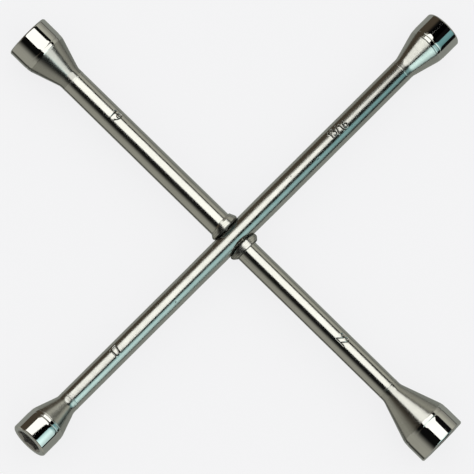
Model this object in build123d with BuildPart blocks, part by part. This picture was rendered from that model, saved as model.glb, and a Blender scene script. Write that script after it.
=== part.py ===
"""Four-way cross wheel wrench: one through bar, two half bars welded to its sides, four sockets.

The through bar lies along X with its middle at the origin, the half bars lie along Y, a little to
the 17 mm side of the middle, and +Z is up when the wrench lies flat. The 13/16 in socket is at +X,
17 mm at -X, 19 mm at +Y, 22 mm at -Y.
"""
from build123d import *
import os
from math import radians, tan

os.makedirs("parts", exist_ok=True)

# Driving dimensions, mm. Reach: from the through bar's middle, or its axis, to a socket's rim.
reach_17, reach_13_16, reach_19, reach_22 = 205.0, 205.0, 196.0, 197.5
crossing_x = -4.0           # the half bars are welded on here, off the through bar's middle
flats_17, flats_13_16, flats_19, flats_22 = 17.0, 13 / 16 * 25.4, 19.0, 22.0
head_17, head_13_16, head_19, head_22 = 27.8, 27.8, 32.4, 37.0       # outer diameters
neck_17, neck_13_16, neck_19, neck_22 = 36.0, 39.0, 40.4, 47.7       # rim to the foot of the cone
rod_17, rod_13_16, rod_19, rod_22 = 15.2, 16.1, 17.4, 16.1           # rod diameters at the necks
drill_17, drill_13_16, drill_19, drill_22 = 16.0, 18.0, 17.5, 20.0   # clearance drill behind the hex
turn_17, turn_13_16, turn_19, turn_22 = -16.0, 0.0, 10.0, 0.0        # hex corner, degrees from +Z

land_length = 15.8          # the straight, polished part of a socket
ring_length = 2.9           # the narrow chamfered ring behind it
ring_drop = 0.4             # what the ring loses in radius
rim_chamfer = 0.8
lead_in = 0.5               # the lead-in cone is this much wider than the hex corners
lead_in_depth = 1.4
hex_depth = 16.0
drill_run = 10.0            # straight length of the clearance drill behind the hex
drill_point_angle = 118.0
neck_fillet = 6.0
neck_stub = 3.4             # rod-sized stub of the socket forging, up to its weld

neck_weld_width = 1.6
neck_weld_rise = 0.15       # the ground weld stands this much proud of the rod
neck_weld_chamfer = 0.135   # its edges are blended into the rod

rod_19_root = 17.8          # the 19 mm half bar is a little thicker at the crossing
crossing_taper = 12.0       # the through bar changes its diameter within this distance
shoulder = 8.4              # the half bars' full diameter stops here, beside the through bar
spigot_radius = 6.0         # a spigot goes on from there into the weld

collar_inner, collar_outer = 7.4, 12.6      # faces of a weld collar, from the through bar's axis
collar_shift = 0.8                          # the upset metal is thrown towards the 13/16 in arm
collar_radius_19, collar_radius_22 = 11.2, 11.9    # half the width, along the through bar
collar_height_19, collar_height_22 = 10.0, 9.3     # half the height: little more than the rods'
collar_roll = 0.9                           # radius of the rolled-over outer edge

hex_across_corners = 2 / 3 ** 0.5           # corner to corner, for one across the flats
plus_x, minus_x, plus_y, minus_y = (1, 0, 0), (-1, 0, 0), (0, 1, 0), (0, -1, 0)
steel = Color(0.72, 0.73, 0.72)


def along_arm(outward, distance):
    """Point on an arm's axis, this far from where its reach is measured."""
    foot = Vector(crossing_x, 0, 0) if outward in (plus_y, minus_y) else Vector(0, 0, 0)
    return foot + Vector(*outward) * distance


def section_plane(outward, centre):
    """Plane through an arm's axis: x runs from the rim towards the crossing, y is up."""
    inward = Vector(*outward) * -1
    return Plane(origin=centre, x_dir=inward, z_dir=(inward.Y, -inward.X, 0))


def finish(builder, name):
    """Label a finished piece and write it."""
    builder.part.label = name
    builder.part.color = steel
    export_step(builder.part, f"parts/{name}.step")


def make_socket(name, outward, reach, flats, head, neck, rod, drill, turn):
    """A forged socket: polished land, chamfered ring, cone, neck, hex and clearance drill."""
    centre = along_arm(outward, reach)
    along = Axis(centre, outward)
    section = section_plane(outward, centre)
    head_r, rod_r, drill_r = head / 2, rod / 2, drill / 2
    corner_r = flats / 2 * hex_across_corners
    ring_end = land_length + ring_length
    drill_end = hex_depth + drill_run
    point_length = drill_r / tan(radians(drill_point_angle / 2))

    with BuildPart() as socket:
        with BuildSketch(section):
            with BuildLine():
                Polyline(
                    (0, 0),
                    (0, head_r - rim_chamfer),
                    (rim_chamfer, head_r),
                    (land_length, head_r),
                    (ring_end, head_r - ring_drop),
                )
                FilletPolyline(
                    (ring_end, head_r - ring_drop),
                    (neck, rod_r),
                    (neck + neck_stub, rod_r),
                    radius=neck_fillet,
                )
                Polyline((neck + neck_stub, rod_r), (neck + neck_stub, 0), (0, 0))
            make_face()
        revolve(axis=along)

        with BuildSketch(Plane(origin=centre, x_dir=(0, 0, 1), z_dir=outward)):
            RegularPolygon(flats / 2, 6, major_radius=False, rotation=turn)
        extrude(amount=-hex_depth, mode=Mode.SUBTRACT)

        with BuildSketch(section):
            with BuildLine():
                Polyline(
                    (0, 0),
                    (0, corner_r + lead_in),
                    (lead_in_depth, flats / 2),
                    (lead_in_depth, drill_r),
                    (drill_end, drill_r),
                    (drill_end + point_length, 0),
                    close=True,
                )
            make_face()
        revolve(axis=along, mode=Mode.SUBTRACT)
    finish(socket, f"socket_{name}")


def make_neck_weld(name, outward, reach, neck, rod):
    """The full-penetration weld between a socket and its rod, ground almost flush."""
    weld_face = along_arm(outward, reach - neck - neck_stub)
    with BuildPart() as weld:
        with BuildSketch(Plane(origin=weld_face, z_dir=outward)):
            Circle(rod / 2 + neck_weld_rise)
        extrude(amount=-neck_weld_width)
        chamfer(weld.edges().filter_by(GeomType.CIRCLE), neck_weld_chamfer)
    finish(weld, f"neck_weld_{name}")


def rod_end(reach, neck):
    """Distance along an arm to where its rod meets its neck weld."""
    return reach - neck - neck_stub - neck_weld_width


arms = (
    ("17", minus_x, reach_17, flats_17, head_17, neck_17, rod_17, drill_17, turn_17),
    ("13_16", plus_x, reach_13_16, flats_13_16, head_13_16, neck_13_16, rod_13_16, drill_13_16,
     turn_13_16),
    ("19", plus_y, reach_19, flats_19, head_19, neck_19, rod_19, drill_19, turn_19),
    ("22", minus_y, reach_22, flats_22, head_22, neck_22, rod_22, drill_22, turn_22),
)
for name, outward, reach, flats, head, neck, rod, drill, turn in arms:
    make_socket(name, outward, reach, flats, head, neck, rod, drill, turn)
    make_neck_weld(name, outward, reach, neck, rod)

# The through bar, from the 17 mm neck weld to the 13/16 in one.
end_17, end_13_16 = rod_end(reach_17, neck_17), rod_end(reach_13_16, neck_13_16)
with BuildPart() as through_bar:
    with BuildSketch(Plane.XZ):
        with BuildLine():
            Polyline(
                (-end_17, 0),
                (-end_17, rod_17 / 2),
                (crossing_x - crossing_taper, rod_17 / 2),
                (crossing_x + crossing_taper, rod_13_16 / 2),
                (end_13_16, rod_13_16 / 2),
                (end_13_16, 0),
                close=True,
            )
        make_face()
    revolve(axis=Axis.X)
finish(through_bar, "through_bar")


def make_half_bar(name, outward, end, rod, root):
    """A half bar, tapered a little, with a spigot saddled to the through bar's side."""
    with BuildPart() as half_bar:
        with BuildSketch(section_plane(outward, along_arm(outward, end))):
            with BuildLine():
                Polyline(
                    (0, 0),
                    (0, rod / 2),
                    (end - shoulder, root / 2),
                    (end - shoulder, spigot_radius),
                    (end, spigot_radius),
                    (end, 0),
                    close=True,
                )
            make_face()
        revolve(axis=Axis(along_arm(outward, 0), outward))
        add(through_bar.part, mode=Mode.SUBTRACT)
    finish(half_bar, f"half_bar_{name}")
    return half_bar


def make_collar(name, outward, radius, height, half_bar):
    """The upset weld collar round a half bar's root: wide, low and rolled over outside."""
    root_centre = Vector(collar_shift, 0, 0) + along_arm(outward, collar_inner)
    with BuildPart() as collar:
        with BuildSketch(Plane(origin=root_centre, x_dir=(1, 0, 0), z_dir=outward)):
            Ellipse(radius, height)
        extrude(amount=collar_outer - collar_inner)
        outer_face = collar.faces().sort_by(Axis((0, 0, 0), outward))[-1]
        fillet(outer_face.edges(), collar_roll)
        add(through_bar.part, mode=Mode.SUBTRACT)
        add(half_bar.part, mode=Mode.SUBTRACT)
    finish(collar, f"weld_collar_{name}")


half_bars = (
    ("19", plus_y, reach_19, neck_19, rod_19, rod_19_root, collar_radius_19, collar_height_19),
    ("22", minus_y, reach_22, neck_22, rod_22, rod_22, collar_radius_22, collar_height_22),
)
for name, outward, reach, neck, rod, root, collar_radius, collar_height in half_bars:
    half_bar = make_half_bar(name, outward, rod_end(reach, neck), rod, root)
    make_collar(name, outward, collar_radius, collar_height, half_bar)
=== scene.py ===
"""Four-way cross wheel wrench: chromed bars, a welded crossing and four turned sockets.

Blender objects are in metres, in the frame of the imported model: the through bar lies along X with
its middle at the origin, the half bars along Y and +Z is up. Lengths are written in millimetres and
multiplied by mm.
"""
import math

import bmesh
import bpy
import numpy as np
from mathutils import Matrix, Vector, noise


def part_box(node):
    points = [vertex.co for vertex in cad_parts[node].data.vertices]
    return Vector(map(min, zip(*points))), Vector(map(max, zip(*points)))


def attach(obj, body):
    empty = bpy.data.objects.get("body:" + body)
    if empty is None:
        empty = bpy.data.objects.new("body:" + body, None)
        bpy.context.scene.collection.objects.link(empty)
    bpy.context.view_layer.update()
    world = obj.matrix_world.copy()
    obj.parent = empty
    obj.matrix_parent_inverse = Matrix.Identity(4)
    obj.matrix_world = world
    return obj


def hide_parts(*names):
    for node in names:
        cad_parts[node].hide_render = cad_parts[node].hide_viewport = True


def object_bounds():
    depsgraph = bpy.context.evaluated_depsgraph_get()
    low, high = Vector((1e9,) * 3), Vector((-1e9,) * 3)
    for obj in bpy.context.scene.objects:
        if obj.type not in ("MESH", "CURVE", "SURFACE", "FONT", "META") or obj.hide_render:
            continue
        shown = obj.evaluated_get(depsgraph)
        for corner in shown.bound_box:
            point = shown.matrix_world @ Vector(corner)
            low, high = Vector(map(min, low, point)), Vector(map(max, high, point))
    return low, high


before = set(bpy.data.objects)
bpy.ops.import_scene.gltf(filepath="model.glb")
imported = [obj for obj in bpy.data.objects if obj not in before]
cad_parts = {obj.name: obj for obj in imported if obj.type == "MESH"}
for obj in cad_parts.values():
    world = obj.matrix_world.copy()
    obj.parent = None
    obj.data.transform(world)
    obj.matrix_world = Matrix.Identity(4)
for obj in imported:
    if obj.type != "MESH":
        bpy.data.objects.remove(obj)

mm = 0.001
cad_box = [[float(v) for v in corner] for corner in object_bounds()]

# ------------------------------------------------------------------ driving dimensions
# The sockets, as in the CAD.
LAND = 15.8 * mm                # polished straight part of a socket
RING = 2.9 * mm                 # polished ring behind it
RING_DROP = 0.4 * mm            # what the ring loses in radius by its far end
RIM_CHAMFER = 0.8 * mm
LEAD_IN = 0.5 * mm              # the lead-in cone is this much wider than the hexagon's corners
LEAD_IN_DEPTH = 1.4 * mm
HEX_DEPTH = 16.0 * mm
DRILL_RUN = 10.0 * mm           # straight length of the round drill behind the hexagon
DRILL_POINT = math.radians(118.0)
WELD_RISE = 0.15 * mm           # the most that a neck weld stands proud of its bar

# The sockets, finer than the CAD: a groove is turned on either side of the ring.
SOCKET_COLUMNS = 240            # a multiple of 12 puts a column on each hexagon corner
LAND_ROLL = 1.9 * mm            # the land rolls down over this length into its groove,
LAND_FALL = 0.14 * mm           # by this much
LAND_ROLL_RADIUS = 20.0 * mm    # and on this radius
LAND_EDGE = 1.5 * mm            # radius where it meets the groove
GROOVE_DEPTH = 0.15 * mm
GROOVE_WIDTH = 0.80 * mm
GROOVE_FLOOR = 0.25 * mm        # radius of a groove's bottom
EDGE = 0.9 * mm                 # radius of the rim's and the ring's turned edges
RING_FALL = 0.12 * mm           # the ring's front edge is this much below the land,
RING_LIFT = 0.06 * mm           # and its back edge this much above its drop
CONE_GAP = GROOVE_WIDTH * 0.7   # from the ring's end to where the cone starts
CONE_EDGE = 0.8 * mm            # radius of the cone's first edge
CONE_LIFT = 0.01 * mm           # how far that edge stands up
MOUTH_EDGE = 0.15 * mm          # radius of the mouth's edge
OUTLINE_STEP = 0.8 * mm         # longest stretch between a socket's rings
HEX_CORNER_RADIUS = 0.9 * mm
HEX_FLOOR_EDGE = 0.15 * mm      # rounding between the hexagon's floor and its walls
DRILL_EDGE = 0.2 * mm           # chamfer of the drill's edge on that floor
WELD_COLUMNS, WELD_STEPS = 120, 16
WELD_LUMPS = 2.2 * mm           # size of the lumps in a ground neck weld

# The bars.
SHOULDER = 8.4 * mm             # the half bars' full diameter stops here, beside the through bar
SPIGOT = 3.9 * mm               # the visible root of a half bar's spigot, inside its collar
SPIGOT_SHADE = 0.46             # painted shade on a spigot, down between a collar and the bar: how dark it is
CROSSING_TAPER = 36.0 * mm      # the through bar changes its diameter this gently
WAVE = 0.035 * mm               # height of the slow waves left in the forged bars
WAVE_LENGTH = 14.0 * mm
CONE_WAVE_LENGTH = WAVE_LENGTH * 0.8
CONE_WAVE_FADE = 5.0 * mm       # the waves of a cone grow from nothing over this length
RIPPLE_LENGTH = WAVE_LENGTH * 0.35
RIPPLE = 0.22                   # height of the ripples on the waves, as a share of the waves'
CAP = 0.5                       # an end face's inner ring lies at this share of the radius
COARSE_TURN, FINE_TURN = math.radians(3.0), math.radians(1.0)   # columns away from and in stamps
COARSE_STEP, FINE_STEP = 1.2 * mm, 0.13 * mm                    # rings away from and in stamps

# The stamped size numbers.
STROKE = 0.82 * mm              # width of a stamped stroke
STAMP_DEPTH = 0.30 * mm
STAMP_BURR = 0.08 * mm          # height of the burr beside a stroke,
BURR_AWAY = STROKE * 0.72       # how far from the stroke's middle its crest is
BURR_WIDTH = STROKE * 0.22      # and how wide it is
STAMP_MARGINS = 1.2 * mm, 1.6 * mm      # fine mesh round a stamp, along and across the bar
DENT_SHADE = 0.6                # painted shade: how dark a dent is, as a share of a stamped stroke's darkness

# The weld collars.
COLLAR_COLUMNS, COLLAR_STEP = 180, 0.3 * mm
COLLAR_SHIFT = 0.8 * mm         # they are thrown towards the 13/16 in arm
COLLAR_TOP = 0.9 * mm           # how far they stand out on top, where they are low and flat
COLLAR_LUMPS = 0.9 * mm         # how uneven their sides are,
LUMP_LENGTH = 9.0 * mm          # how long the lumps are
LUMP_FULL = 2.0 * mm            # and how far the metal has to stand out for full lumps
COLLAR_RIB_SHADE = 0.14               # painted shade: how dark the fine dark stripes round them are, standing in for ribs
RIB_PITCH = 1.3 * mm
COLLAR_SHADE = 0.44             # painted shade: how dark the collars' inner slope and outer crevice are
RAGGED = 0.6 * mm               # how ragged the edge of the painted shade on the inner slope is
RAGGED_LENGTH = 1.6 * mm
SLOPE_FADE, CREVICE_FADE = 0.5 * mm, 0.2 * mm       # how soft both edges of that painted shade are

# Outlines.
ARC_STEP = 6.0                  # degrees between the points of a rounding
GUARD = 0.06 * mm               # points this close beside an arc keep the straight runs flat
RUN_SHARE = 0.46                # the most of a straight run that one rounding takes
SAME_POINT = 1e-7               # points closer than this are merged

UP = Vector((0, 0, 1))


# ------------------------------------------------------------------ mesh helpers
def object_from(name, points, faces, sharp, finishes, recess):
    """A smooth-shaded mesh object whose edges over the sharp angle, in degrees, stay crisp."""
    mesh = bpy.data.meshes.new(name)
    mesh.from_pydata([tuple(p) for p in points], [], faces)
    mesh.polygons.foreach_set("material_index", finishes)
    # recess darkens the plate's colour: painted shade in the stamps, dents, spigots and on the
    # collars
    mesh.attributes.new("recess", "FLOAT", "POINT").data.foreach_set("value", recess)
    work = bmesh.new()
    work.from_mesh(mesh)
    bmesh.ops.remove_doubles(work, verts=work.verts, dist=SAME_POINT)
    bmesh.ops.recalc_face_normals(work, faces=work.faces)
    work.to_mesh(mesh)
    work.free()
    mesh.shade_smooth()
    mesh.set_sharp_from_angle(angle=math.radians(sharp))
    made = bpy.data.objects.new(name, mesh)
    bpy.context.scene.collection.objects.link(made)
    return made


def skin(name, rings, sharp=35.0, finishes=None, recess=None):
    """Closed skin through rings of equal size; the first and last ring are closed to a point.

    finishes holds a material index for each ring, recess how much painted shade darkens
    each point: deep in a stamp, in a dent, on a hidden spigot or on a collar.
    """
    rings = np.asarray(rings, float)
    count, columns = rings.shape[:2]
    points = rings.reshape(-1, 3).tolist()
    points += [rings[0].mean(0).tolist(), rings[-1].mean(0).tolist()]
    first_pole, last_pole = count * columns, count * columns + 1
    faces, chosen = [], []
    finishes = finishes or [0] * count
    for row in range(count - 1):
        base = row * columns
        chosen += [finishes[row]] * columns
        for column in range(columns):
            after = (column + 1) % columns
            faces.append(
                (base + column, base + after, base + columns + after, base + columns + column)
            )
    last = (count - 1) * columns
    for column in range(columns):
        after = (column + 1) % columns
        faces.append((first_pole, after, column))
        faces.append((last_pole, last + column, last + after))
        chosen += [finishes[0], finishes[-1]]
    shade_amount = np.zeros(len(points))
    if recess is not None:
        shade_amount[: count * columns] = np.asarray(recess).reshape(-1)
    return object_from(name, points, faces, sharp, chosen, shade_amount)


def rounded(corners):
    """Outline through (along, radius, rounding) corners, with each rounding as an arc."""
    outline = []
    for index, (along, radius, rounding) in enumerate(corners):
        here = Vector((along, radius))
        if index in (0, len(corners) - 1) or rounding == 0:
            outline.append(here)
            continue
        to_last = Vector(corners[index - 1][:2]) - here
        to_next = Vector(corners[index + 1][:2]) - here
        bend = math.pi - to_last.angle(to_next)
        tangent = min(
            rounding * math.tan(bend / 2), RUN_SHARE * to_last.length, RUN_SHARE * to_next.length
        )
        arc_radius = tangent / math.tan(bend / 2)
        to_last.normalize()
        to_next.normalize()
        start, end = here + to_last * tangent, here + to_next * tangent
        middle = (to_last + to_next).normalized()
        centre = here + middle * (arc_radius / math.cos(bend / 2))
        first = math.atan2(start.y - centre.y, start.x - centre.x)
        last = math.atan2(end.y - centre.y, end.x - centre.x)
        sweep = (last - first + math.pi) % (2 * math.pi) - math.pi
        steps = max(2, int(math.degrees(bend) / ARC_STEP) + 1)
        outline.append(start + to_last * GUARD)
        for step in range(steps + 1):
            angle = first + sweep * step / steps
            outline.append(centre + Vector((math.cos(angle), math.sin(angle))) * arc_radius)
        outline.append(end + to_next * GUARD)
    return outline


def subdivided(outline, longest):
    """The outline with its long straight runs cut up."""
    finer = [outline[0]]
    for before, after in zip(outline, outline[1:]):
        pieces = max(1, math.ceil((after - before).length / longest))
        finer += [before.lerp(after, (k + 1) / pieces) for k in range(pieces)]
    return finer


def waviness(point, size, seed):
    """Smooth noise from -1 to 1 with features about as large as size."""
    return noise.noise(Vector(point) / size + Vector((seed * 7.3, seed * 3.1, seed * 5.7)))


def circle(origin, along, side, place, radius, angles):
    """Points round an axis; place and radius are numbers or one value for each angle."""
    spokes = np.outer(np.cos(angles), UP) + np.outer(np.sin(angles), side)
    place = np.broadcast_to(place, angles.shape)[:, None]
    radius = np.broadcast_to(radius, angles.shape)[:, None]
    return np.array(origin) + place * np.array(along) + spokes * radius


# ------------------------------------------------------------------ the arms, read off the frame
class Arm:
    """One arm: its rim centre, direction and the sizes that differ from arm to arm."""

    def __init__(self, name, outward, flats, drill, turn, neck, neck_fillet):
        self.name, self.neck_fillet = name, neck_fillet
        self.flats, self.drill, self.turn, self.neck = flats, drill, math.radians(turn), neck
        self.outward = Vector(outward)
        self.axis = 0 if abs(self.outward.x) > 0.5 else 1       # 0 for X, 1 for Y
        self.side = self.outward.cross(UP)
        low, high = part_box(f"socket_{name}")
        self.length = abs(self.outward.dot(high - low))
        self.rim = (low + high) / 2 + self.outward * self.length / 2
        self.head_radius = (high - low).z / 2
        weld_low, weld_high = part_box(f"neck_weld_{name}")
        self.weld_width = abs(self.outward.dot(weld_high - weld_low))
        self.rod_radius = (weld_high - weld_low).z / 2 - WELD_RISE
        self.rod_end = self.rim - self.outward * (self.length + self.weld_width)

    def ring(self, back, radius, angles):
        """Points round the arm, this far back from its rim."""
        return circle(self.rim, self.outward, self.side, np.negative(back), radius, angles)


ARMS = {
    arm.name: arm
    for arm in (
        # name, outward, flats, drill, turn of the hexagon, rim to foot of cone, neck fillet
        Arm("17", (-1, 0, 0), 17.0 * mm, 16.0 * mm, -16.0, 36.0 * mm, 8.0 * mm),
        Arm("13_16", (1, 0, 0), 13 / 16 * 25.4 * mm, 18.0 * mm, 0.0, 39.0 * mm, 26.0 * mm),
        Arm("19", (0, 1, 0), 19.0 * mm, 17.5 * mm, 10.0, 40.4 * mm, 8.0 * mm),
        Arm("22", (0, -1, 0), 22.0 * mm, 20.0 * mm, 0.0, 47.7 * mm, 12.0 * mm),
    )
}
CROSSING = Vector((ARMS["22"].rim.x, 0, 0))     # where the half bars' axis meets the through bar's


# ------------------------------------------------------------------ sockets
POLISH, GROUND, BORE = range(3)     # a socket's materials
HALF_SIDE = math.pi / 6             # half the angle that one side of a hexagon spans


def hexagon(arm, angles):
    """Distance to the hexagon's wall at each angle, with the broached corners rounded."""
    from_flat = (angles - arm.turn) % (2 * HALF_SIDE) - HALF_SIDE
    wall = arm.flats / 2 / np.cos(from_flat)
    corner = arm.flats / 2 / math.cos(HALF_SIDE)
    centre = corner - HEX_CORNER_RADIUS / math.cos(HALF_SIDE)
    from_corner = HALF_SIDE - np.abs(from_flat)
    inside = HEX_CORNER_RADIUS**2 - (centre * np.sin(from_corner)) ** 2
    arc = centre * np.cos(from_corner) + np.sqrt(np.maximum(inside, 0))
    near = np.tan(from_corner) * centre < HEX_CORNER_RADIUS / 2
    return np.where(near, np.minimum(wall, arc), wall)


def socket_hollow(arm, angles):
    """Rings from the drill point out to the mouth: drill, hexagon and lead-in cone."""
    drill, wall = arm.drill / 2, hexagon(arm, angles)
    drill_end = HEX_DEPTH + DRILL_RUN
    point = drill / math.tan(DRILL_POINT / 2)
    mouth = arm.flats / 2 / math.cos(HALF_SIDE) + LEAD_IN
    slope = (mouth - arm.flats / 2) / LEAD_IN_DEPTH
    meeting = (mouth - wall) / slope        # depth at which the lead-in cone meets the wall
    rings = [
        arm.ring(drill_end + point * (1 - share), drill * share, angles)
        for share in (0.1, 0.4, 0.7, 0.97)
    ]
    for depth in np.linspace(drill_end, HEX_DEPTH + DRILL_EDGE, 8):
        rings.append(arm.ring(depth, drill, angles))
    rings.append(arm.ring(HEX_DEPTH, drill + DRILL_EDGE, angles))
    rings.append(arm.ring(HEX_DEPTH, wall - HEX_FLOOR_EDGE, angles))
    rings.append(arm.ring(HEX_DEPTH - HEX_FLOOR_EDGE, wall, angles))
    for share in np.linspace(0.06, 1.0, 14):
        rings.append(arm.ring(HEX_DEPTH + (meeting - HEX_DEPTH) * share, wall, angles))
    for share in (0.08, 0.5, 0.92):
        rings.append(arm.ring(meeting * (1 - share), wall + (mouth - wall) * share, angles))
    return rings, mouth


def socket_outline(arm, mouth):
    """Outline of the outside, from the mouth's edge to the middle of the neck's end face."""
    head, rod = arm.head_radius, arm.rod_radius
    ring_end = LAND + RING
    ring_radius = head - RING_DROP
    slope = (ring_radius - rod) / (arm.neck - ring_end)
    corners = [
        (0, mouth, 0),
        (0, head - RIM_CHAMFER, MOUTH_EDGE),
        (RIM_CHAMFER, head, EDGE),
        (LAND - LAND_ROLL, head, LAND_ROLL_RADIUS),
        (LAND - GROOVE_WIDTH / 2, head - LAND_FALL, LAND_EDGE),
        (LAND, head - LAND_FALL - GROOVE_DEPTH, GROOVE_FLOOR),
        (LAND + GROOVE_WIDTH / 2, head - RING_FALL, EDGE),
        (ring_end - GROOVE_WIDTH / 2, ring_radius + RING_LIFT, EDGE),
        (ring_end, ring_radius - GROOVE_DEPTH, GROOVE_FLOOR),
        (ring_end + CONE_GAP, ring_radius - slope * CONE_GAP + CONE_LIFT, CONE_EDGE),
        (arm.neck, rod, arm.neck_fillet),
        (arm.length, rod, 0),
        (arm.length, rod * CAP, 0),
    ]
    return subdivided(rounded(corners), OUTLINE_STEP)


def make_socket(arm):
    """A forged socket with its hexagon, turned outside and slight forging waves on the cone."""
    angles = arm.turn + np.arange(SOCKET_COLUMNS) / SOCKET_COLUMNS * 2 * math.pi
    rings, mouth = socket_hollow(arm, angles)
    finishes = [BORE] * (len(rings) - 1) + [POLISH]
    seed = len(arm.name) + arm.flats / mm
    for back, radius in socket_outline(arm, mouth):
        ring = arm.ring(back, radius, angles)
        if back > LAND + RING and radius > arm.rod_radius * 0.9:        # not on the end face
            share = min(1.0, (back - LAND - RING) / CONE_WAVE_FADE)
            waves = np.array([waviness(p, CONE_WAVE_LENGTH, seed) for p in ring])
            ring = arm.ring(back, radius + waves * WAVE * share, angles)
        rings.append(ring)
        finishes.append(GROUND if back > LAND + RING else POLISH)
    return skin(f"socket_shell_{arm.name}", rings, finishes=finishes)


def make_neck_weld(arm):
    """The weld between a socket and its bar, ground down to an uneven low band."""
    angles = np.linspace(0, 2 * math.pi, WELD_COLUMNS, endpoint=False)
    start, end = arm.length, arm.length + arm.weld_width
    rings = [arm.ring(start, arm.rod_radius * CAP, angles)]
    for step in range(WELD_STEPS + 1):
        share = step / WELD_STEPS
        crown = math.sin(math.pi * share) ** 0.6
        back = start + arm.weld_width * share
        ring = arm.ring(back, arm.rod_radius, angles)
        uneven = np.array([waviness(p, WELD_LUMPS, arm.flats / mm) for p in ring])
        height = WELD_RISE * crown * (0.45 + 0.45 * uneven)     # from nothing to 0.9 of the rise
        rings.append(arm.ring(back, arm.rod_radius + height, angles))
    rings.append(arm.ring(end, arm.rod_radius * CAP, angles))
    return skin(f"neck_band_{arm.name}", rings, sharp=50.0)


# ------------------------------------------------------------------ stamped size numbers
GLYPH_WIDTH = 0.56              # width of the box a character is drawn in, which is 1 high
NARROWING = 0.9                 # stamped characters are this much narrower than that


def arc(centre_x, centre_y, radius_x, radius_y, start, end, steps=12):
    """Points on an elliptic arc, angles in degrees."""
    turns = np.radians(np.linspace(start, end, steps))
    return [(centre_x + radius_x * math.cos(t), centre_y + radius_y * math.sin(t)) for t in turns]


# The strokes of each character, each a run of (x, y) points.
GLYPHS = {
    "1": [[(0.12, 0.80), (0.30, 1.0), (0.30, 0.0)]],
    "2": [arc(0.28, 0.72, 0.27, 0.28, 165, -30) + [(0.0, 0.0), (0.56, 0.0)]],
    "3": [
        arc(0.27, 0.76, 0.23, 0.24, 150, -80, 10) + arc(0.27, 0.27, 0.28, 0.27, 80, -150, 10)
    ],
    "6": [arc(0.28, 0.29, 0.28, 0.29, 0, 360, 18), arc(0.70, 0.29, 0.70, 0.75, 180, 112, 8)],
    "7": [[(0.0, 1.0), (0.56, 1.0), (0.20, 0.0)]],
    "9": [arc(0.28, 0.71, 0.28, 0.29, 0, 360, 18), arc(-0.14, 0.71, 0.70, 0.75, 0, -68, 8)],
    "/": [[(0.02, -0.05), (0.50, 1.05)]],
}


class Stamp:
    """A size number on a bar: its text, place along the bar, angle round it and height.

    pitch is the distance from character to character, steps how far each one stands up.
    """

    def __init__(self, text, place, angle, height, pitch, steps=None):
        self.place, self.angle, self.height = place, math.radians(angle), height
        self.length = pitch * len(text)
        self.strokes = []
        width = height * NARROWING
        for index, character in enumerate(text):
            left = (index - (len(text) - 1) / 2) * pitch - GLYPH_WIDTH / 2 * width
            lift = (steps[index] if steps else 0.0) - height / 2
            for stroke in GLYPHS[character]:
                points = [(left + x * width, lift + y * height) for x, y in stroke]
                self.strokes += list(zip(points, points[1:]))

    def reach(self):
        """Half the length and half the height that the fine mesh has to cover."""
        along, across = STAMP_MARGINS
        return self.length / 2 + along, self.height / 2 + across

    def pressed(self, along, across):
        """Share of the full depth, from 0 to 1, and the height of the burr at each point."""
        nearest = np.full(along.shape, 1.0)
        for (x0, y0), (x1, y1) in self.strokes:
            run = (x1 - x0) ** 2 + (y1 - y0) ** 2
            share = ((along - x0) * (x1 - x0) + (across - y0) * (y1 - y0)) / run
            share = np.clip(share, 0, 1)
            away = np.hypot(along - x0 - share * (x1 - x0), across - y0 - share * (y1 - y0))
            nearest = np.minimum(nearest, away)
        share = np.clip(nearest / (STROKE / 2), 0, 1)
        burr = STAMP_BURR * np.exp(-(((nearest - BURR_AWAY) / BURR_WIDTH) ** 2))
        return 1 - share**2 * (3 - 2 * share), burr


# ------------------------------------------------------------------ bars
def graded(low, high, coarse, fine, windows):
    """Positions from low to high, finely spaced inside the windows and coarsely outside."""
    places, here = [low], low
    while here < high:
        inside = any(start - coarse <= here <= end for start, end in windows)
        here += fine if inside else coarse
        places.append(min(here, high))
    return np.array(places)


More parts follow.
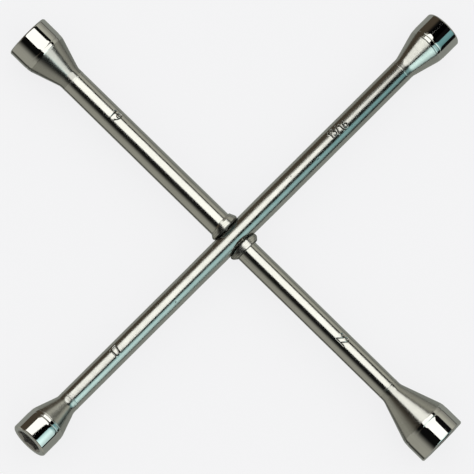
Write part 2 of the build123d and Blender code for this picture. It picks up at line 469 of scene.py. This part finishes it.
class Bar:
    """A bar, read from start to end with its crown turned up, and its stamps and dents.

    taper holds where along it the radius starts and stops changing. A dent is its place along
    the bar, angle round it in degrees, size and depth.
    """

    def __init__(self, name, start, end, start_radius, end_radius, taper, stamps, dents=()):
        self.name, self.start = name, Vector(start)
        self.along = (Vector(end) - self.start).normalized()
        self.length = (Vector(end) - self.start).length
        self.side = UP.cross(self.along)
        self.radii, self.taper = (start_radius, end_radius), taper
        self.stamps, self.dents = stamps, dents

    def base_radius(self, place):
        """Radius of the plain bar."""
        low, high = self.taper
        share = np.clip((place - low) / (high - low), 0, 1)
        return self.radii[0] + (self.radii[1] - self.radii[0]) * share

    def ring(self, place, radius, angles):
        """Points round the bar, this far along it."""
        return circle(self.start, self.along, self.side, place, radius, angles)

    def columns(self):
        """Angles round the bar, finer across its stamps."""
        windows = []
        for stamp in self.stamps:
            half = stamp.reach()[1] / self.radii[0]
            windows.append((stamp.angle - half, stamp.angle + half))
        return graded(-math.pi, math.pi, COARSE_TURN, FINE_TURN, windows)[:-1]

    def rows(self, low, high):
        """Places along the bar, finer along its stamps."""
        windows = []
        for stamp in self.stamps:
            half = stamp.reach()[0]
            windows.append((stamp.place - half, stamp.place + half))
        return graded(low, high, COARSE_STEP, FINE_STEP, windows)

    def surface(self, place, angles):
        """One ring of the finished surface, with its taper, waves, stamps and dents, and their
        painted shade.
        """
        radius = np.full(angles.shape, self.base_radius(place))
        recess = np.zeros(angles.shape)
        plain = self.ring(place, radius, angles)
        seed = self.length / mm
        slow = np.array([waviness(p, WAVE_LENGTH, seed) for p in plain])
        quick = np.array([waviness(p, RIPPLE_LENGTH, seed + 1) for p in plain])
        radius += WAVE * (slow + RIPPLE * quick)
        for stamp in self.stamps:
            if abs(place - stamp.place) < stamp.reach()[0]:
                across = (angles - stamp.angle) * radius
                along = np.full(angles.shape, place - stamp.place)
                pressed, burr = stamp.pressed(along, across)
                radius = radius - STAMP_DEPTH * pressed + burr
                # painted shade: the stamp's strokes are darkened
                recess = np.maximum(recess, pressed)
        for dent_place, dent_angle, dent_size, dent_depth in self.dents:
            if abs(place - dent_place) < 3 * dent_size:
                across = (angles - math.radians(dent_angle)) * radius
                away = np.hypot(across, place - dent_place) / dent_size
                radius = radius - dent_depth * np.exp(-(away**2))
                # painted shade: the dent is darkened
                recess = np.maximum(recess, DENT_SHADE * np.exp(-(away**2)))
        return self.ring(place, radius, angles), recess

    def skin(self, start, places, end, angles):
        """The finished bar: hidden rings before and after the surface rings at places."""
        surface = [self.surface(place, angles) for place in places]
        # painted shade: the hidden rings, the spigot down between a collar and the bar, are
        # darkened
        dark = np.full(angles.shape, SPIGOT_SHADE)
        return skin(
            self.name,
            [*start, *(ring for ring, _ in surface), *end],
            recess=[*[dark] * len(start), *(shade_amount for _, shade_amount in surface), *[dark] * len(end)],
        )


def make_through_bar():
    """The bar that runs from the 17 mm socket to the 13/16 in one."""
    left, right = ARMS["17"], ARMS["13_16"]
    middle = (CROSSING - left.rod_end).length
    bar = Bar(
        "through_bar_skin",
        left.rod_end,
        right.rod_end,
        left.rod_radius,
        right.rod_radius,
        (middle - CROSSING_TAPER, middle + CROSSING_TAPER),
        [
            Stamp("17", middle - 116.2 * mm, angle=13.0, height=5.9 * mm, pitch=3.6 * mm),
            Stamp(
                "13/16", middle + 103.0 * mm, angle=14.0, height=5.2 * mm, pitch=3.05 * mm,
                steps=[0.7 * mm, 0.7 * mm, 0.0, -0.7 * mm, -0.7 * mm],
            ),
        ],
        [       # dents: place, angle, size, depth
            (middle + 79.0 * mm, -20.0, 0.6 * mm, 0.22 * mm),
            (middle + 57.0 * mm, 12.0, 0.5 * mm, 0.10 * mm),
            (middle - 62.0 * mm, -28.0, 0.5 * mm, 0.08 * mm),
        ],
    )
    angles = bar.columns()
    return bar.skin(
        [bar.ring(0, left.rod_radius * CAP, angles)],
        bar.rows(0, bar.length),
        [bar.ring(bar.length, right.rod_radius * CAP, angles)],
        angles,
    )


def saddle(bar, root, radius, angles):
    """Ring of a spigot's end, lying on the through bar; root is its axis's place on the bar."""
    crossing_radius = (ARMS["17"].rod_radius + ARMS["13_16"].rod_radius) / 2
    height = radius * np.cos(angles)
    away = np.sqrt(crossing_radius**2 - height**2)
    sign = 1 if root == 0 else -1
    return bar.ring(root + sign * away, radius, angles)


def make_half_bar(arm, outward_is_start, root_radius, stamp):
    """A half bar, with its hidden spigot saddled on the through bar.

    It starts at its socket if outward_is_start, and at the through bar if not, so that its
    stamp reads the right way.
    """
    axis_end = Vector((arm.rim.x, 0, 0))
    ends = (arm.rod_end, axis_end) if outward_is_start else (axis_end, arm.rod_end)
    radii = (arm.rod_radius, root_radius) if outward_is_start else (root_radius, arm.rod_radius)
    length = (ends[1] - ends[0]).length
    bar = Bar(f"half_bar_skin_{arm.name}", *ends, *radii, (0, length), [stamp])
    angles = bar.columns()
    if outward_is_start:
        places = bar.rows(0, length - SHOULDER)
        cap, root = bar.ring(0, arm.rod_radius * CAP, angles), length
    else:
        places = bar.rows(SHOULDER, length)
        cap, root = bar.ring(length, arm.rod_radius * CAP, angles), 0
    spigot = [bar.ring(abs(root - SHOULDER), SPIGOT, angles)]
    spigot += [saddle(bar, root, SPIGOT * share, angles) for share in (1.0, 0.66, 0.33)]
    if outward_is_start:
        return bar.skin([cap], places, spigot, angles)
    return bar.skin(spigot[::-1], places, [cap], angles)


# ------------------------------------------------------------------ the welded crossing
def make_collar(arm, root, profile, inner_shade, crevice, side_shade):
    """Metal upset round a half bar's root: wide at the sides, low and flat on top, rolled over.

    root is the half bar's radius there. profile holds (distance from the through bar's axis,
    radius at the sides, rounding) from the bar outwards. Painted shade darkens the metal inside
    inner_shade and outside crevice, measured from that axis too, and side_shade says how dark the
    painted shade is at the sides.
    """
    across, outward = np.array((1.0, 0.0, 0.0)), np.array(arm.outward)
    centre = np.array(CROSSING) + across * COLLAR_SHIFT
    inner, outer = profile[0][0], profile[-1][0]
    corners = [
        (inner, root * CAP, 0),
        *profile,
        (outer - 0.5 * mm, root - 0.3 * mm, 0.2 * mm),      # turned in under the bar's surface
        (outer - 1.2 * mm, root * CAP, 0),
    ]
    outline = subdivided(rounded(corners), COLLAR_STEP)
    angles = np.linspace(0, 2 * math.pi, COLLAR_COLUMNS, endpoint=False)
    spokes = np.outer(np.cos(angles), UP) + np.outer(np.sin(angles), across)
    sideways = np.sin(angles) ** 4
    seed = arm.flats / mm
    rings, recess = [], []
    for along, out in outline:
        stands = (out - root) * sideways + min(out - root, COLLAR_TOP) * (1 - sideways)
        ring = centre + along * outward + spokes * (root + stands)[:, None]
        lumps = np.array([waviness(p, LUMP_LENGTH, seed) for p in ring])
        ragged = np.array([waviness((p[0], p[1], 0), RAGGED_LENGTH, seed + 3) for p in ring])
        share = max(0.0, min(1.0, (out - root) / LUMP_FULL))
        swell = share * COLLAR_LUMPS * sideways * lumps
        rings.append(ring + spokes * swell[:, None])
        # painted shade: the inner slope and the outer crevice are darkened, with a ragged edge on
        # the slope
        shade = (inner_shade + RAGGED * ragged - along) / SLOPE_FADE
        shade = np.clip(np.maximum(shade, (along - crevice) / CREVICE_FADE), 0, 1)
        # painted shade: dark stripes round the collar, standing in for fine ribs
        rib_shade = COLLAR_RIB_SHADE * max(0.0, math.sin(2 * math.pi * along / RIB_PITCH))
        recess.append(np.maximum(COLLAR_SHADE * shade, side_shade * sideways + rib_shade))
    return skin(f"collar_{arm.name}", rings, sharp=60.0, recess=recess)


# ------------------------------------------------------------------ materials
class Nodes:
    """Short names for building the node tree of a material or the world."""

    def __init__(self, owner, cleared=False):
        owner.use_nodes = True
        self.tree = owner.node_tree
        if cleared:
            self.tree.nodes.clear()

    def link(self, value, socket):
        self.tree.links.new(value, socket)

    def add(self, kind, inputs=None, **settings):
        """A node with its settings; each input is linked to a socket or set to a value."""
        node = self.tree.nodes.new(kind)
        for key, value in settings.items():
            setattr(node, key, value)
        for key, value in (inputs or {}).items():
            if isinstance(value, bpy.types.NodeSocket):
                self.link(value, node.inputs[key])
            else:
                node.inputs[key].default_value = value
        return node

    def maths(self, operation, a, b):
        return self.add("ShaderNodeMath", {0: a, 1: b}, operation=operation).outputs[0]

    def mapped(self, value, low, high, to_low=0.0, to_high=1.0, interpolation="LINEAR"):
        """value carried over from the range low to high, and held at its ends."""
        return self.add(
            "ShaderNodeMapRange",
            {
                "Value": value, "From Min": low, "From Max": high,
                "To Min": to_low, "To Max": to_high,
            },
            interpolation_type=interpolation,
        ).outputs[0]

    def eased(self, value, low, high, to_low=0.0, to_high=1.0):
        """The same, eased at both ends."""
        return self.mapped(value, low, high, to_low, to_high, "SMOOTHSTEP")

    def mixed(self, share, first, second):
        """Mix of two colours, each a socket or three numbers."""
        ends = [c if isinstance(c, bpy.types.NodeSocket) else (*c, 1) for c in (first, second)]
        inputs = {0: share, 6: ends[0], 7: ends[1]}
        return self.add("ShaderNodeMix", inputs, data_type="RGBA").outputs[2]

    def noise(self, scale, size, detail, roughness=0.55):
        """Noise in object coordinates, each axis scaled by its own factor, per metre."""
        place = self.add("ShaderNodeTexCoord").outputs["Object"]
        stretched = self.add("ShaderNodeMapping", {"Vector": place, "Scale": scale}).outputs[0]
        texture = self.add(
            "ShaderNodeTexNoise",
            {"Vector": stretched, "Scale": size, "Detail": detail, "Roughness": roughness},
        )
        return texture.outputs["Fac"]


# Noise scales, per metre: across and along the piece's axis for the marks that turning leaves.
MARKS_ACROSS, MARKS_ALONG = 70.0, 2600.0
FINE_ACROSS, FINE_ALONG = 260.0, 9000.0
SMEARS, CLOUDS, PEEL, PITS = 160.0, 42.0, 420.0, 1500.0
EVENLY = (1, 1, 1)              # the same scale on every axis
PIT_LEVEL = 0.70                # noise above this is a pit
PIT_DEPTH = 0.04 * mm           # the depth of the deepest


def chrome(name, axis, colour, roughness, grain, peel, anisotropy=0.0, spots=0.0, metal=1.0):
    """Chrome plate over worked steel.

    axis is the piece's own axis, 0 for X or 1 for Y. grain is the height of the marks that run
    round the piece, peel that of the soft unevenness under the plate, both in metres. spots says
    how dark and deep its pits are, from 0 to 1.
    """
    material = bpy.data.materials.new(name)
    made = Nodes(material)
    sockets = made.tree.nodes["Principled BSDF"].inputs
    along, fine_along = [MARKS_ACROSS] * 3, [FINE_ACROSS] * 3
    along[axis], fine_along[axis] = MARKS_ALONG, FINE_ALONG
    marks = made.noise(along, 1.0, 4.0, 0.65)
    fine_marks = made.noise(fine_along, 1.0, 2.0)
    smears = made.noise(EVENLY, SMEARS, 4.0, 0.6)
    clouds = made.noise(EVENLY, CLOUDS, 3.0)
    soft = made.noise(EVENLY, PEEL, 2.0)
    pits = made.noise(EVENLY, PITS, 1.0)

    # Colour: faint clouds, darkened by painted shade in the stamps, dents, spigots and collars, and
    # dark in the pits.
    shade_amount = made.add("ShaderNodeAttribute", attribute_name="recess").outputs["Fac"]
    shade = made.mapped(clouds, 0.3, 0.7, 0.93, 1.04)
    shade = made.maths("MULTIPLY", shade, made.mapped(shade_amount, 0.06, 0.5, 1.0, 0.10))
    if spots:
        speck = made.mapped(pits, PIT_LEVEL, 0.78, 1.0, 1.0 - spots)
        shade = made.maths("MULTIPLY", shade, speck)
    tint = made.add("ShaderNodeVectorMath", {0: colour, "Scale": shade}, operation="SCALE")
    made.link(tint.outputs[0], sockets["Base Color"])

    # Roughness: smeared, and duller on the marks and in the stamps.
    rough = made.mapped(smears, 0.3, 0.75, roughness * 0.82, roughness * 1.22)
    rough = made.maths("ADD", rough, made.mapped(marks, 0.55, 0.8, 0.0, roughness * 0.25))
    rough = made.maths("ADD", rough, made.mapped(shade_amount, 0.15, 0.75, 0.0, 0.2))
    made.link(rough, sockets["Roughness"])

    # Height: coarse and fine marks, soft unevenness and pits.
    height = made.maths("MULTIPLY", marks, grain)
    height = made.maths("ADD", height, made.maths("MULTIPLY", fine_marks, grain * 0.2))
    height = made.maths("ADD", height, made.maths("MULTIPLY", soft, peel))
    if spots:
        holes = made.mapped(pits, PIT_LEVEL, 0.80, 0.0, -PIT_DEPTH * spots)
        height = made.maths("ADD", height, holes)
    bump = made.add("ShaderNodeBump", {"Height": height, "Strength": 1.0, "Distance": 1.0})
    made.link(bump.outputs[0], sockets["Normal"])

    sockets["Metallic"].default_value = metal
    if anisotropy:
        sockets["Anisotropic"].default_value = anisotropy
        sockets["Anisotropic Rotation"].default_value = 0.25    # stretches along the piece
        tangent = made.add("ShaderNodeTangent", direction_type="RADIAL", axis="XY"[axis])
        made.link(tangent.outputs[0], sockets["Tangent"])
    return material


# Colours of the plate where it is polished, satin and dull.
POLISHED = (0.80, 0.80, 0.77)
SATIN = (0.74, 0.74, 0.70)
DULL = (0.40, 0.39, 0.36)
CONE_PAINTED_SHADE = {"17": 0.92, "13_16": 0.97, "19": 0.72, "22": 0.86}     # painted shade: how much each cone's plate colour is dimmed for how light falls on it


def socket_materials(arm):
    """Polished land, ground cone and dull hollow of one arm's socket."""
    # painted shade: the cone's plate colour is dimmed arm by arm for how light falls on it
    cone = tuple(part * CONE_PAINTED_SHADE[arm.name] for part in SATIN)
    return (
        chrome(
            f"polished_{arm.name}", arm.axis, POLISHED,
            roughness=0.045, grain=0.00015 * mm, peel=0.0002 * mm,
        ),
        chrome(
            f"ground_{arm.name}", arm.axis, cone,
            roughness=0.23, grain=0.0008 * mm, peel=0.0012 * mm, anisotropy=0.45, spots=0.25,
        ),
        chrome(
            f"bore_{arm.name}", arm.axis, DULL,
            roughness=0.40, grain=0.0006 * mm, peel=0.003 * mm, spots=0.4, metal=0.85,
        ),
    )


def bar_material(name, axis, roughness):
    """Satin chrome of a drawn bar."""
    return chrome(
        name, axis, SATIN,
        roughness=roughness, grain=0.0011 * mm, peel=0.0022 * mm, anisotropy=0.5, spots=0.35,
    )


def put(piece, slot, *nodes, material=None):
    """Ride on the wrench, stand for the CAD nodes and take the material, if one is given; slot is
    not used.
    """
    if material:
        piece.data.materials.append(material)
    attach(piece, "root")
    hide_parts(*nodes)
    return piece


# ------------------------------------------------------------------ the wrench
along_y = []                    # the pieces of the half bars, which the rim card lights
for arm in ARMS.values():
    socket = make_socket(arm)
    for material in socket_materials(arm):
        socket.data.materials.append(material)
    put(socket, "polished_chrome", f"socket_{arm.name}")
    band_finish = chrome(
        f"band_{arm.name}", arm.axis, SATIN,
        roughness=0.28, grain=0.003 * mm, peel=0.003 * mm, anisotropy=0.3,
    )
    band = make_neck_weld(arm)
    put(band, "satin_chrome", f"neck_weld_{arm.name}", material=band_finish)
    if arm.axis == 1:
        along_y += [socket, band]

bar_x = bar_material("bar_chrome_x", 0, 0.21)
bar_y = bar_material("bar_chrome_y", 1, 0.19)
put(make_through_bar(), "satin_chrome", "through_bar", material=bar_x)

half_19_low, half_19_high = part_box("half_bar_19")
half_22_low, half_22_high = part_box("half_bar_22")
root_19 = (half_19_high - half_19_low).z / 2
root_22 = (half_22_high - half_22_low).z / 2
length_19 = ARMS["19"].rod_end.y
stamp_19 = Stamp("19", length_19 - 114.5 * mm, angle=9.0, height=6.2 * mm, pitch=3.9 * mm)
stamp_22 = Stamp("22", 101.0 * mm, angle=4.5, height=5.9 * mm, pitch=4.0 * mm)
half_19 = make_half_bar(ARMS["19"], True, root_19, stamp_19)
half_22 = make_half_bar(ARMS["22"], False, root_22, stamp_22)
along_y.append(put(half_19, "satin_chrome", "half_bar_19", material=bar_y))
along_y.append(put(half_22, "satin_chrome", "half_bar_22", material=bar_y))

weld_finish = chrome(
    "weld_chrome", 1, SATIN, roughness=0.22, grain=0.0, peel=0.012 * mm, spots=0.5
)
# Along the half bar, radius at the sides, rounding.
profile_19 = (
    (7.3 * mm, 9.4 * mm, 0.4 * mm),
    (8.4 * mm, 11.4 * mm, 1.2 * mm),
    (10.0 * mm, 11.1 * mm, 2.0 * mm),
    (11.8 * mm, root_19 + 0.9 * mm, 2.0 * mm),
    (13.8 * mm, root_19 + 0.1 * mm, 0.6 * mm),
)
profile_22 = (
    (7.3 * mm, 9.4 * mm, 0.4 * mm),
    (8.2 * mm, 11.9 * mm, 1.0 * mm),
    (10.2 * mm, 11.7 * mm, 2.4 * mm),
    (12.7 * mm, root_22 + 0.8 * mm, 0.5 * mm),
)
# inner_shade, crevice and side_shade set where the collars' painted shade lies and how dark it is
for name, root, profile, inner_shade, crevice, side_shade in (
    ("19", root_19, profile_19, 8.7 * mm, 14.0 * mm, 0.18),
    ("22", root_22, profile_22, 8.0 * mm, 11.9 * mm, 0.28),
):
    collar = make_collar(ARMS[name], root, profile, inner_shade, crevice, side_shade)
    put(collar, "weld_chrome", f"weld_collar_{name}", material=weld_finish)
    along_y.append(collar)


# ------------------------------------------------------------------ camera
AZIMUTH, ELEVATION, ROLL = math.radians(191.0), math.radians(74.5), math.radians(-1.25)
VIEW = Vector((
    math.cos(ELEVATION) * math.cos(AZIMUTH),
    math.cos(ELEVATION) * math.sin(AZIMUTH),
    math.sin(ELEVATION),
))
DISTANCE = 8.0                  # far off, as the photo shows hardly any perspective
SENSOR = 36.0
FRAME_WIDTH = 320.3 * mm        # what the picture's width takes in at the crossing
AIM_RIGHT, AIM_UP = 2.30 * mm, 0.50 * mm        # from the crossing to the picture's middle


def make_camera():
    """The photo's view, with the middle of the picture's top between the +X and +Y arms."""
    data = bpy.data.cameras.new("camera")
    data.sensor_width = SENSOR
    data.lens = SENSOR * DISTANCE / FRAME_WIDTH
    data.clip_start, data.clip_end = 0.1, 100.0
    camera = bpy.data.objects.new("camera", data)
    up = Vector((1, 1, 0)).normalized()
    up = (up - VIEW * up.dot(VIEW)).normalized()
    right = up.cross(VIEW)
    turned_right = right * math.cos(ROLL) + up * math.sin(ROLL)
    turned_up = up * math.cos(ROLL) - right * math.sin(ROLL)
    place = CROSSING + turned_right * AIM_RIGHT + turned_up * AIM_UP + VIEW * DISTANCE
    rows = [[turned_right[k], turned_up[k], VIEW[k], place[k]] for k in range(3)]
    camera.matrix_world = Matrix([*rows, [0, 0, 0, 1]])
    bpy.context.scene.collection.objects.link(camera)
    bpy.context.scene.camera = camera


# ------------------------------------------------------------------ floor and world
BACKDROP = (0.900, 0.900, 0.908)        # the world as the camera sees it
PAPER_GLOW = (0.935, 0.935, 0.945)      # the floor's own glow
PAPER = (0.8, 0.8, 0.8)
PAPER_SHARE = 0.14              # how much of the floor takes light and shadow; the rest glows
FLOOR_REACH = 30.0


def make_floor():
    """A pale floor under the wrench, which the chrome doesn't mirror."""
    floor_z = cad_box[0][2]
    mesh = bpy.data.meshes.new("floor")
    corners = [
        (x * FLOOR_REACH, y * FLOOR_REACH, floor_z) for x, y in ((-1, -1), (1, -1), (1, 1), (-1, 1))
    ]
    mesh.from_pydata(corners, [], [(0, 1, 2, 3)])
    floor = bpy.data.objects.new("floor", mesh)
    material = bpy.data.materials.new("floor")
    made = Nodes(material, cleared=True)
    glow = made.add("ShaderNodeEmission", {"Color": (*PAPER_GLOW, 1)})
    paper = made.add("ShaderNodeBsdfDiffuse", {"Color": (*PAPER, 1)})
    inputs = {0: PAPER_SHARE, 1: glow.outputs[0], 2: paper.outputs[0]}
    sheet = made.add("ShaderNodeMixShader", inputs)
    made.add("ShaderNodeOutputMaterial", {"Surface": sheet.outputs[0]})
    mesh.materials.append(material)
    bpy.context.scene.collection.objects.link(floor)
    floor.visible_glossy = False


# Colours of the studio that the chrome mirrors: low and high parts of its walls, and its floor.
BLACK = (0.004, 0.004, 0.004)
BROWN = (0.066, 0.052, 0.036)
EAST_LOW, EAST_HIGH = (0.27, 0.265, 0.235), (0.46, 0.455, 0.39)
WEST_LOW = (0.32, 0.315, 0.275)
TAUPE, WEST_TAUPE, WEST_DEEP = (0.27, 0.28, 0.255), (0.34, 0.335, 0.29), (0.03, 0.03, 0.025)
AMBIENT = (0.9, 0.9, 0.9)       # the light on the floor


def make_world():
    """Pale to the camera, even light on the floor, and a dim studio in the chrome.

    The studio is painted by direction: east is +X, north +Y and height +Z of a unit vector.
    """
    world = bpy.data.worlds.new("studio")
    bpy.context.scene.world = world
    made = Nodes(world, cleared=True)
    eased, mixed = made.eased, made.mixed
    direction = made.add("ShaderNodeTexCoord").outputs["Generated"]
    east, north, height = made.add("ShaderNodeSeparateXYZ", {0: direction}).outputs

    east_glow = mixed(eased(height, 0.0, 0.5), EAST_LOW, EAST_HIGH)
    west_side = mixed(eased(height, 0.10, 0.66), WEST_LOW, BLACK)
    east_side = mixed(eased(height, 0.565, 0.595), east_glow, BLACK)
    sides = mixed(eased(east, -0.15, 0.15), west_side, east_side)
    north_side = mixed(eased(height, 0.45, 0.75), BROWN, BLACK)
    sky = mixed(eased(north, 0.50, 0.72), sides, north_side)
    sky = mixed(eased(north, -0.72, -0.50, 1.0, 0.0), sky, BLACK)

    west_floor = mixed(eased(height, -0.80, -0.66), WEST_DEEP, WEST_TAUPE)
    east_floor = mixed(eased(height, -0.15, -0.12), TAUPE, BLACK)
    east_floor = mixed(eased(height, -0.08, -0.05), east_floor, east_glow)
    floor = mixed(eased(east, -0.6, -0.2, 1.0, 0.0), TAUPE, west_floor)
    floor = mixed(eased(east, 0.5, 0.7), floor, east_floor)
    horizon = eased(north, 0.35, 0.65, -0.02, -0.20)
    studio = mixed(made.maths("LESS_THAN", height, horizon), sky, floor)

    path = made.add("ShaderNodeLightPath")
    lit = mixed(path.outputs["Is Diffuse Ray"], studio, AMBIENT)
    seen = mixed(path.outputs["Is Camera Ray"], lit, BACKDROP)
    background = made.add("ShaderNodeBackground", {"Color": seen, "Strength": 1.0})
    made.add("ShaderNodeOutputWorld", {"Surface": background.outputs[0]})


# ------------------------------------------------------------------ the cards that light it
def glow_material(name, near, far, across, fade=None):
    """A glow in object coordinates.

    Along across, an (axis, start, end), it goes from the near colour to the far one; along fade,
    an (axis, start, end, share), it rises from that share to full strength.
    """
    material = bpy.data.materials.new(name)
    made = Nodes(material, cleared=True)
    place = made.add("ShaderNodeTexCoord").outputs["Object"]
    split = made.add("ShaderNodeSeparateXYZ", {0: place})

    def rising(axis, start, end, low=0.0):
        return made.eased(split.outputs[axis], start, end, low)

    glow = made.add("ShaderNodeEmission", {"Color": made.mixed(rising(*across), near, far)})
    if fade:
        made.link(rising(*fade), glow.inputs["Strength"])
    made.add("ShaderNodeOutputMaterial", {"Surface": glow.outputs[0]})
    return material


def make_card(name, corners, glow, receivers=None):
    """A glowing studio panel that only the chrome sees, or only the pieces in receivers."""
    mesh = bpy.data.meshes.new(name)
    mesh.from_pydata([tuple(c) for c in corners], [], [tuple(range(len(corners)))])
    card = bpy.data.objects.new(name, mesh)
    card.data.materials.append(glow_material(name, *glow))
    bpy.context.scene.collection.objects.link(card)
    card.visible_camera = False
    card.visible_shadow = False
    card.visible_diffuse = False
    if receivers:
        lit = bpy.data.collections.new(f"{name}_lit")
        for piece in receivers:
            lit.objects.link(piece)
        card.light_linking.receiver_collection = lit


# Flat cards overhead, in (x, y) metres from BOX_X and BOX_Y. A glow is its near colour, its far
# colour and the direction from one to the other, as glow_material takes them.
BOX_X, BOX_Y, BOX_HEIGHT = 0.016, -0.007, 0.62
SOFTBOX = (                     # corners of the part that both bars mirror
    (-0.055, -0.031), (0.0, -0.031), (0.015, -0.15), (0.055, -0.15), (0.085, -0.11),
    (0.125, -0.055), (0.178, -0.042), (0.228, 0.0), (0.298, 0.04), (0.335, 0.18), (0.365, 0.24),
    (0.365, 0.34), (0.350, 0.35), (0.057, 0.83), (0.03, 1.0), (-0.16, 1.0),
)
SOFTBOX_OUTSIDE = (             # outside of the part round it that only the half bars mirror
    (-0.27, 0.24), (-0.20, 0.14), (-0.23, 0.0), (-0.25, -0.06), (-0.20, -0.14), (-0.10, -0.30),
    (0.25, -0.30), (0.309, -0.17), (0.40, -0.08), (0.50, 0.0), (0.52, 0.14), (0.442, 0.24),
    (0.40, 0.45),
)
SOFTBOX_RIM = SOFTBOX_OUTSIDE + SOFTBOX[13::-1] + SOFTBOX[15:]      # back along the softbox
SPILL = ((0.075, 0.81), (0.33, 0.385), (0.36, 0.62), (0.16, 1.15))  # the lit wall behind it
WARM_GLOW = ((1.35, 1.345, 1.28), (0.95, 0.94, 0.88), (1, 0.75, 1.05))
SPILL_GLOW = ((0.27, 0.26, 0.22), (0.16, 0.15, 0.12), (1, 0.5, 1.1))

# An upright panel beyond the 22 mm arm, in (x, z) metres from PANEL_X.
PANEL_X, PANEL_Y = 0.026, -1.0
COOL_PANEL = (
    (-0.5, 0.12), (0.054, 0.14), (0.44, 0.38), (0.9, 0.50), (0.9, 1.2), (0.62, 1.48), (0.31, 1.80),
    (-0.1, 2.1), (-0.5, 2.1),
)
COOL_GLOW = ((1.08, 1.40, 1.38), (0.17, 0.36, 0.375), (0, -0.02, 0.48), (2, 0.1, 0.9, 0.55))

make_camera()
make_floor()
make_world()
for name, outline, glow, receivers in (
    ("softbox", SOFTBOX, WARM_GLOW, None),
    ("softbox_rim", SOFTBOX_RIM, WARM_GLOW, along_y),
    ("spill", SPILL, SPILL_GLOW, None),
):
    make_card(name, [(x + BOX_X, y + BOX_Y, BOX_HEIGHT) for x, y in outline], glow, receivers)
make_card("cool_panel", [(x + PANEL_X, PANEL_Y, z) for x, z in COOL_PANEL], COOL_GLOW)

bpy.context.scene.view_settings.view_transform = "Standard"
